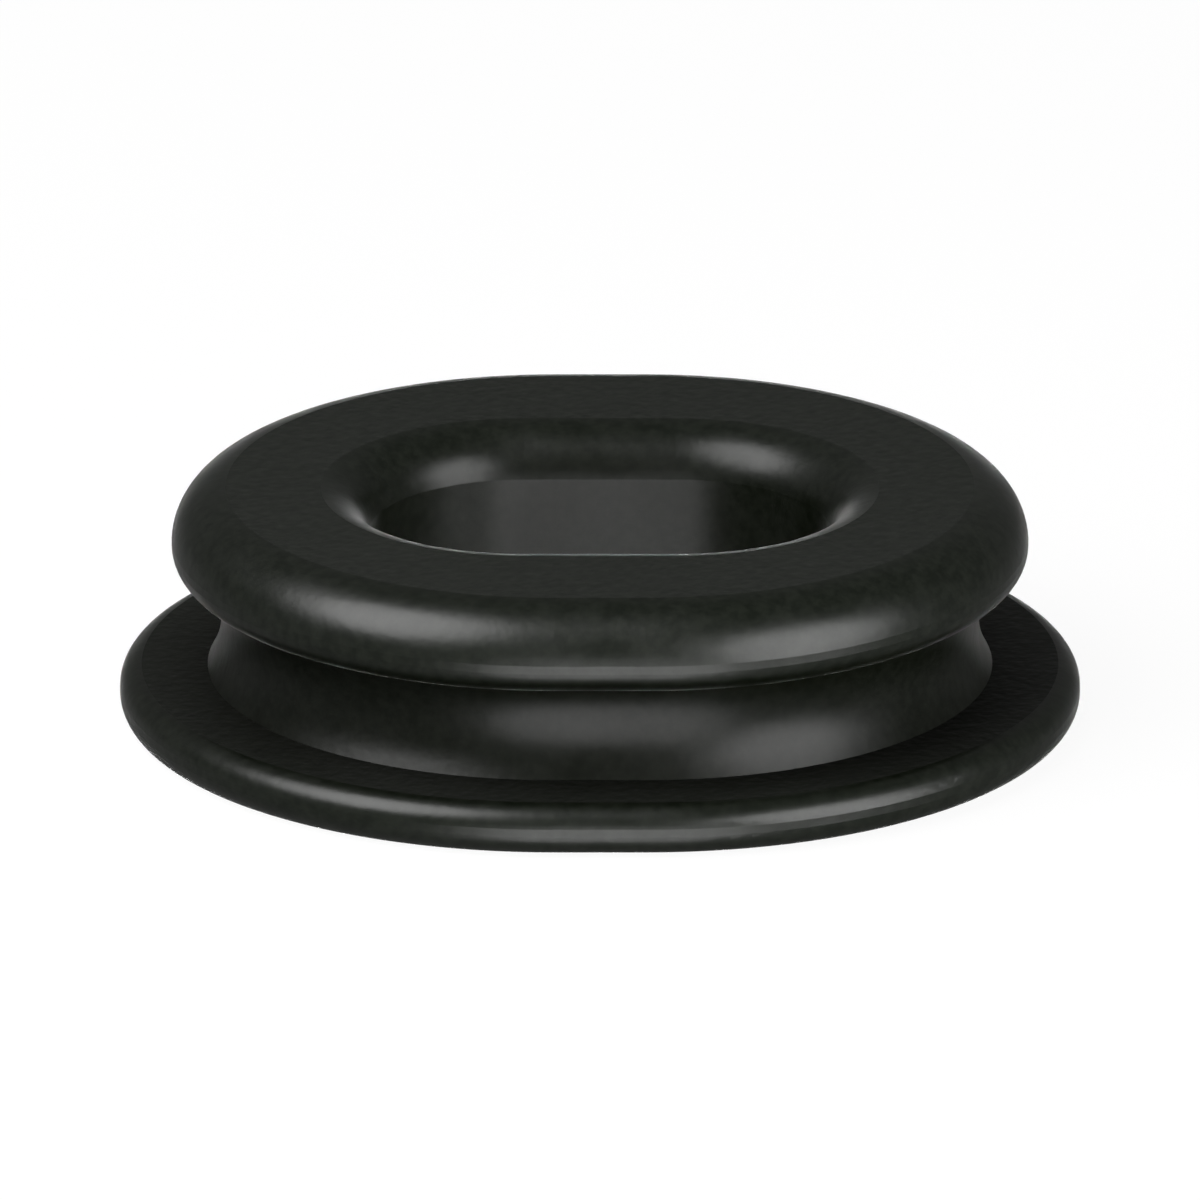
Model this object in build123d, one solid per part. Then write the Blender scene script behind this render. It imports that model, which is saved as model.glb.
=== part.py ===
"""Rubber damper: one moulded body with a broad lower flange, a neck drawn in to a
waist, a smaller upper flange with a full, heavily rounded rim, and an obround
hole right through.  A panel's edge sits in the groove between the two flanges.

Units are mm.  The base lies on z = 0 with its centre at the origin, and the
long way of the obround runs along X.
"""

from build123d import *

import math
import os

# --- Plan --------------------------------------------------------------------
# Every outline is an obround: two half circles with a straight between them.
OUTER_STRAIGHT = 3.8
NECK_FOOT_RADIUS = 14.45

# How far each form stands out from, or is drawn in from, the foot of the neck.
NECK_WAIST_DEPTH = 0.57
UPPER_FLANGE_LIP = 1.5
LOWER_FLANGE_LIP = 3.65

# --- Groove ------------------------------------------------------------------
GROOVE_HEIGHT = 4.15

# --- Rims --------------------------------------------------------------------
# Each rim is a round, a narrow upright land and a second round, so these three
# add up to the thickness of the flange.
LOWER_RIM_BASE_ROUND = 0.95
LOWER_RIM_LAND = 0.35
LOWER_RIM_TOP_ROUND = 0.9

UPPER_RIM_UNDER_ROUND = 1.05
UPPER_RIM_LAND = 0.35
UPPER_RIM_TOP_ROUND = 2.25

# A round meets the flat face or the upright beside it at this slight angle, in
# degrees, so that a faint crease shows where it starts and ends.
ROUND_CREASE = 5.0

# --- Hole --------------------------------------------------------------------
HOLE_STRAIGHT = 6.3
HOLE_RADIUS = 6.5
HOLE_TOP_ROUND = 2.0
HOLE_BASE_ROUND = 1.0

# --- Levels and reaches that follow ------------------------------------------
LOWER_FLANGE_RADIUS = NECK_FOOT_RADIUS + LOWER_FLANGE_LIP
UPPER_FLANGE_RADIUS = NECK_FOOT_RADIUS + UPPER_FLANGE_LIP
NECK_WAIST_RADIUS = NECK_FOOT_RADIUS - NECK_WAIST_DEPTH

LOWER_FLANGE_THICKNESS = LOWER_RIM_BASE_ROUND + LOWER_RIM_LAND + LOWER_RIM_TOP_ROUND
UPPER_FLANGE_THICKNESS = UPPER_RIM_UNDER_ROUND + UPPER_RIM_LAND + UPPER_RIM_TOP_ROUND

GROOVE_FLOOR = LOWER_FLANGE_THICKNESS
GROOVE_MIDDLE = GROOVE_FLOOR + GROOVE_HEIGHT / 2
GROOVE_ROOF = GROOVE_FLOOR + GROOVE_HEIGHT
TOP = GROOVE_ROOF + UPPER_FLANGE_THICKNESS

# The cutter of the hole stands this far out of both faces.
CUT_OVERRUN = 1.0


def add_round(start, end):
    """Draw a quarter round that turns clockwise, flattened to leave the crease at both ends."""
    half_chord = math.dist(start, end) / 2
    half_turn = math.radians(45 - ROUND_CREASE)
    RadiusArc(start, end, half_chord / math.sin(half_turn))


def add_rim(radius, base, base_round, land, top_round):
    """Draw a flange's rim, from the edge of its top face down to that of its under face."""
    top = base + base_round + land + top_round
    add_round((radius - top_round, top), (radius, top - top_round))
    Line((radius, top - top_round), (radius, base + base_round))
    add_round((radius, base + base_round), (radius - base_round, base))


def outside_section():
    """Half section of the outside: X is the way out from the axis, Y is height."""
    with BuildSketch() as section:
        with BuildLine():
            Line((0, TOP), (UPPER_FLANGE_RADIUS - UPPER_RIM_TOP_ROUND, TOP))
            add_rim(
                UPPER_FLANGE_RADIUS,
                GROOVE_ROOF,
                UPPER_RIM_UNDER_ROUND,
                UPPER_RIM_LAND,
                UPPER_RIM_TOP_ROUND,
            )
            Line(
                (UPPER_FLANGE_RADIUS - UPPER_RIM_UNDER_ROUND, GROOVE_ROOF),
                (NECK_FOOT_RADIUS, GROOVE_ROOF),
            )
            # One hollow arc draws the neck in to its waist.
            ThreePointArc(
                (NECK_FOOT_RADIUS, GROOVE_ROOF),
                (NECK_WAIST_RADIUS, GROOVE_MIDDLE),
                (NECK_FOOT_RADIUS, GROOVE_FLOOR),
            )
            Line(
                (NECK_FOOT_RADIUS, GROOVE_FLOOR),
                (LOWER_FLANGE_RADIUS - LOWER_RIM_TOP_ROUND, GROOVE_FLOOR),
            )
            add_rim(
                LOWER_FLANGE_RADIUS,
                0,
                LOWER_RIM_BASE_ROUND,
                LOWER_RIM_LAND,
                LOWER_RIM_TOP_ROUND,
            )
            Polyline((LOWER_FLANGE_RADIUS - LOWER_RIM_BASE_ROUND, 0), (0, 0), (0, TOP))
        make_face()
    return section.sketch


def hole_section():
    """Half section of what the hole takes away, flared at both mouths by their rounds."""
    top_mouth = HOLE_RADIUS + HOLE_TOP_ROUND
    base_mouth = HOLE_RADIUS + HOLE_BASE_ROUND
    over = TOP + CUT_OVERRUN
    under = -CUT_OVERRUN
    with BuildSketch() as section:
        with BuildLine():
            add_round((base_mouth, 0), (HOLE_RADIUS, HOLE_BASE_ROUND))
            Line((HOLE_RADIUS, HOLE_BASE_ROUND), (HOLE_RADIUS, TOP - HOLE_TOP_ROUND))
            add_round((HOLE_RADIUS, TOP - HOLE_TOP_ROUND), (top_mouth, TOP))
            Polyline(
                (top_mouth, TOP),
                (top_mouth, over),
                (0, over),
                (0, under),
                (base_mouth, under),
                (base_mouth, 0),
            )
        make_face()
    return section.sketch


def swept(section, straight):
    """A half section swept round an obround: two half turns and two straight runs."""
    left_x = -straight / 2
    right_x = straight / 2

    # The section stood upright at each end centre, facing the back and the front.
    facing_back = Plane(origin=(left_x, 0, 0), x_dir=(0, 1, 0), z_dir=(1, 0, 0)) * section
    facing_front = Plane(origin=(right_x, 0, 0), x_dir=(0, -1, 0), z_dir=(-1, 0, 0)) * section

    back_run = extrude(facing_back, amount=straight)
    front_run = extrude(facing_front, amount=straight)
    left_turn = revolve(facing_back, Axis((left_x, 0, 0), (0, 0, 1)), 180)
    right_turn = revolve(facing_front, Axis((right_x, 0, 0), (0, 0, 1)), 180)
    return back_run + front_run + left_turn + right_turn


def damper():
    outside = swept(outside_section(), OUTER_STRAIGHT)
    hole = swept(hole_section(), HOLE_STRAIGHT)
    return outside - hole


os.makedirs("parts", exist_ok=True)
export_step(damper(), "parts/damper.step")
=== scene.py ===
"""Rubber damper: its moulded black rubber, the studio round it and the camera.

Units are metres.  +Z is up, the damper stands on z = 0, and the camera looks
along +Y.
"""

import math

import bpy
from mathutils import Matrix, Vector


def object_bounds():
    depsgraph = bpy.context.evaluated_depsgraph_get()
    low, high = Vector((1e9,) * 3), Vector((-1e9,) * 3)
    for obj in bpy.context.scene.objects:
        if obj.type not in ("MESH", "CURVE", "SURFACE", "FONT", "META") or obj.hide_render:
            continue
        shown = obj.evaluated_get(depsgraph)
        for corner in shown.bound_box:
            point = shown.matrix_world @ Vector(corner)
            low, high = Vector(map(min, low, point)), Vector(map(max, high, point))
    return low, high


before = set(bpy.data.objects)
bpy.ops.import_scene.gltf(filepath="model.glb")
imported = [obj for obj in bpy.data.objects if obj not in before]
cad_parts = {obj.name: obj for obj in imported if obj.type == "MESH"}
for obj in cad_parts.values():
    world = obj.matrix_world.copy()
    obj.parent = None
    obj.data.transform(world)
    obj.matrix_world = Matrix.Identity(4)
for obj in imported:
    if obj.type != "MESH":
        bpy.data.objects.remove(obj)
CAD_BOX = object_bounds()

LOW = Vector(CAD_BOX[0])
HIGH = Vector(CAD_BOX[1])
CENTRE = (LOW + HIGH) / 2
LENGTH = HIGH.x - LOW.x

# --- Camera ------------------------------------------------------------------
# Degrees above the floor.
CAMERA_HEIGHT = 19.7
CAMERA_DISTANCE = 0.3
CAMERA_CLIP = (0.01, 10)
# The frame is a quarter wider than the damper is long.
FRAME_WIDTH = 1.25 * LENGTH

# --- Rubber ------------------------------------------------------------------
# Each noise: the size of its blotches, how many finer levels it has, and how
# strong they are.  A range is the part of the noise that is spread over all of
# the colours or roughnesses.
MOTTLE_NOISE = (0.0005, 4, 0.65)
MOTTLE_RANGE = (0.38, 0.64)
WEAR_NOISE = (0.0025, 3, 0.6)
WEAR_RANGE = (0.35, 0.65)
GRAIN_NOISE = (0.00045, 1, 0.5)

# Open faces are a faintly green black, mottled between these two.  Deep in the
# groove and the hole the black is neutral and darker: painted shade, by how
# enclosed a point is.
DARK_RUBBER = (0.0017, 0.0036, 0.0008, 1)
LIGHT_RUBBER = (0.0077, 0.0101, 0.0060, 1)
RECESS_SHADE_RUBBER = (0.0014, 0.0012, 0.0006, 1)

SMOOTH_ROUGHNESS = 0.31
WORN_ROUGHNESS = 0.37
RUBBER_IOR = 1.57

# Painted shade: the specular level falls off in the groove and the hole, by how
# much of the room round a point is open.  Open faces have the shader's usual specular level.
RECESS_SHADE_REACH = 0.016
RECESS_SHADE_FADE = 1.5
RECESS_SHADE_SAMPLES = 16
OPEN_SPECULAR = 0.5

# The mould is coarser on its level faces than on its rounds: they are rougher
# by this much, and the rounds have this share of their grain.  The sharpness
# ends a level face at its crease.
LEVEL_ADDED_ROUGHNESS = 0.25
GRAIN_HEIGHT = 0.000044
ROUND_GRAIN = 0.2
LEVEL_SHARPNESS = 250

# --- Studio ------------------------------------------------------------------
# The world lights the damper weakly, and shows white to the camera.
WORLD_LIGHT = 0.112
WORLD_SEEN = 1.0

FLOOR_REACH = 1.5
FLOOR_DROP = 0.00002
FLOOR_COLOUR = (0.1, 0.1, 0.1, 1)
FLOOR_GLOW = 0.92
# The photographed damper mirrors a dark surround, so little of the glow is
# mirrored.
FLOOR_MIRRORED = 0.1

WHITE = (1, 1, 1, 1)
LAMP_DISTANCE = 0.35
# Each softbox: name, bearing round from the camera's side (right is plus),
# height above the floor, half the angles that it fills across and upright as
# the damper sees it (all in degrees), brightness (1 is white), and whether it
# throws a shadow.  The others reach into the groove and the hole.
LAMPS = [
    ("key_left", -60, 46, 26, 26, 4.2, True),
    ("side_right", 47.5, 13, 24.5, 27, 4.0, False),
    ("low_front", 3, -25, 22, 24, 2.65, False),
    ("low_back", 180, -24, 28, 22, 0.28, False),
    ("back_strip", 180, -4, 14, 10, 0.55, False),
]


def direction(bearing, height):
    """Unit vector away from the damper, from angles in degrees."""
    turn = math.radians(bearing)
    rise = math.radians(height)
    level = math.cos(rise)
    return Vector((math.sin(turn) * level, -math.cos(turn) * level, math.sin(rise)))


def place_facing_damper(obj, bearing, height, distance):
    """Stand a lamp or a camera off the damper's centre, looking at it."""
    away = direction(bearing, height)
    obj.location = CENTRE + away * distance
    obj.rotation_euler = (-away).to_track_quat("-Z", "Y").to_euler()
    bpy.context.scene.collection.objects.link(obj)


def add_noise(nodes, links, place, settings):
    """Noise read from where a point is on the damper."""
    size, levels, strength = settings
    noise = nodes.new("ShaderNodeTexNoise")
    noise.inputs["Scale"].default_value = 1 / size
    noise.inputs["Detail"].default_value = levels
    noise.inputs["Roughness"].default_value = strength
    links.new(place, noise.inputs["Vector"])
    return noise.outputs["Fac"]


def add_range(nodes, links, value, to_range, from_range=(0, 1)):
    """Spread one range of a value over another."""
    spread = nodes.new("ShaderNodeMapRange")
    spread.inputs["From Min"].default_value = from_range[0]
    spread.inputs["From Max"].default_value = from_range[1]
    spread.inputs["To Min"].default_value = to_range[0]
    spread.inputs["To Max"].default_value = to_range[1]
    links.new(value, spread.inputs["Value"])
    return spread.outputs["Result"]


def add_math(nodes, links, operation, *terms):
    """A step of arithmetic whose terms are fixed numbers or other nodes' outputs."""
    step = nodes.new("ShaderNodeMath")
    step.operation = operation
    for socket, term in zip(step.inputs, terms):
        if isinstance(term, bpy.types.NodeSocket):
            links.new(term, socket)
        else:
            socket.default_value = term
    return step.outputs[0]


def rubber_material():
    """Satin black moulded rubber, mottled, coarser where level, and with painted shade darkening its
    colour and dimming its sheen in its recesses.
    """
    material = bpy.data.materials.new("moulded_rubber")
    material.use_nodes = True
    nodes = material.node_tree.nodes
    links = material.node_tree.links
    shader = nodes["Principled BSDF"]
    shader.inputs["IOR"].default_value = RUBBER_IOR
    place = nodes.new("ShaderNodeTexCoord").outputs["Object"]

    # Painted shade: how enclosed a point is dims its specular level and, below, darkens its colour.
    recess_shade_probe = nodes.new("ShaderNodeAmbientOcclusion")
    recess_shade_probe.samples = RECESS_SHADE_SAMPLES
    recess_shade_probe.only_local = True
    recess_shade_probe.inputs["Distance"].default_value = RECESS_SHADE_REACH
    painted_shade_openness = add_math(nodes, links, "POWER", recess_shade_probe.outputs["AO"], RECESS_SHADE_FADE)
    sheen = add_math(nodes, links, "MULTIPLY", painted_shade_openness, OPEN_SPECULAR)
    links.new(sheen, shader.inputs["Specular IOR Level"])

    mottle = nodes.new("ShaderNodeValToRGB")
    dark, light = mottle.color_ramp.elements
    dark.position, light.position = MOTTLE_RANGE
    dark.color = DARK_RUBBER
    light.color = LIGHT_RUBBER
    links.new(add_noise(nodes, links, place, MOTTLE_NOISE), mottle.inputs["Fac"])
    # Painted shade: recesses turn from the mottle to the darker neutral black.
    colour = nodes.new("ShaderNodeMix")
    colour.data_type = "RGBA"
    links.new(painted_shade_openness, colour.inputs["Factor"])
    colour.inputs["A"].default_value = RECESS_SHADE_RUBBER
    links.new(mottle.outputs["Color"], colour.inputs["B"])
    links.new(colour.outputs["Result"], shader.inputs["Base Color"])

    normal = nodes.new("ShaderNodeNewGeometry").outputs["Normal"]
    facing = nodes.new("ShaderNodeSeparateXYZ")
    links.new(normal, facing.inputs["Vector"])
    level = add_math(nodes, links, "POWER", facing.outputs["Z"], LEVEL_SHARPNESS)

    wear = add_noise(nodes, links, place, WEAR_NOISE)
    worn = add_range(nodes, links, wear, (SMOOTH_ROUGHNESS, WORN_ROUGHNESS), WEAR_RANGE)
    rough = add_math(nodes, links, "MULTIPLY_ADD", level, LEVEL_ADDED_ROUGHNESS, worn)
    links.new(rough, shader.inputs["Roughness"])

    bump = nodes.new("ShaderNodeBump")
    bump.inputs["Distance"].default_value = GRAIN_HEIGHT
    links.new(add_range(nodes, links, level, (ROUND_GRAIN, 1)), bump.inputs["Strength"])
    links.new(add_noise(nodes, links, place, GRAIN_NOISE), bump.inputs["Height"])
    links.new(bump.outputs["Normal"], shader.inputs["Normal"])
    return material


def floor_material():
    """Pale floor that shows white to the camera, and dimly in reflections, and keeps a soft shadow."""
    material = bpy.data.materials.new("floor")
    material.use_nodes = True
    nodes = material.node_tree.nodes
    links = material.node_tree.links
    shader = nodes["Principled BSDF"]
    shader.inputs["Base Color"].default_value = FLOOR_COLOUR
    shader.inputs["Roughness"].default_value = 1.0
    shader.inputs["Specular IOR Level"].default_value = 0.0
    shader.inputs["Emission Color"].default_value = WHITE

    path = nodes.new("ShaderNodeLightPath").outputs
    mirrored = add_math(nodes, links, "ADD", path["Is Glossy Ray"], path["Is Transmission Ray"])
    shown = add_math(nodes, links, "MULTIPLY_ADD", mirrored, FLOOR_MIRRORED, path["Is Camera Ray"])
    glow = add_math(nodes, links, "MULTIPLY", shown, FLOOR_GLOW)
    links.new(glow, shader.inputs["Emission Strength"])
    return material


def add_floor():
    corners = [
        (-FLOOR_REACH, -FLOOR_REACH, 0),
        (FLOOR_REACH, -FLOOR_REACH, 0),
        (FLOOR_REACH, FLOOR_REACH, 0),
        (-FLOOR_REACH, FLOOR_REACH, 0),
    ]
    mesh = bpy.data.meshes.new("floor")
    mesh.from_pydata(corners, [], [(0, 1, 2, 3)])
    mesh.materials.append(floor_material())
    floor = bpy.data.objects.new("floor", mesh)
    bpy.context.scene.collection.objects.link(floor)
    floor.location.z = -FLOOR_DROP


def add_lamp(name, bearing, height, half_across, half_upright, brightness, shadow):
    across = 2 * LAMP_DISTANCE * math.tan(math.radians(half_across))
    upright = 2 * LAMP_DISTANCE * math.tan(math.radians(half_upright))
    area = math.pi * across * upright / 4
    data = bpy.data.lights.new(name, "AREA")
    data.shape = "ELLIPSE"
    data.size = across
    data.size_y = upright
    data.energy = brightness * math.pi * area
    data.use_shadow = shadow
    # With it on, what stands in front of a shadowless lamp still hides its reflection.
    data.cycles.use_multiple_importance_sampling = shadow
    lamp = bpy.data.objects.new(name, data)
    place_facing_damper(lamp, bearing, height, LAMP_DISTANCE)
    lamp.visible_camera = False


def add_world():
    world = bpy.data.worlds.new("studio")
    world.use_nodes = True
    nodes = world.node_tree.nodes
    links = world.node_tree.links
    seen = nodes.new("ShaderNodeLightPath").outputs["Is Camera Ray"]
    background = nodes["Background"]
    background.inputs["Color"].default_value = WHITE
    strength = add_range(nodes, links, seen, (WORLD_LIGHT, WORLD_SEEN))
    links.new(strength, background.inputs["Strength"])
    bpy.context.scene.world = world


def add_camera():
    data = bpy.data.cameras.new("camera")
    data.type = "ORTHO"
    data.ortho_scale = FRAME_WIDTH
    data.clip_start, data.clip_end = CAMERA_CLIP
    camera = bpy.data.objects.new("camera", data)
    place_facing_damper(camera, 0, CAMERA_HEIGHT, CAMERA_DISTANCE)
    bpy.context.scene.camera = camera


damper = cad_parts["damper"]
rubber = rubber_material()
for slot in damper.material_slots:
    slot.material = rubber

add_floor()
for lamp in LAMPS:
    add_lamp(*lamp)
add_world()
add_camera()
bpy.context.scene.view_settings.view_transform = "Standard"
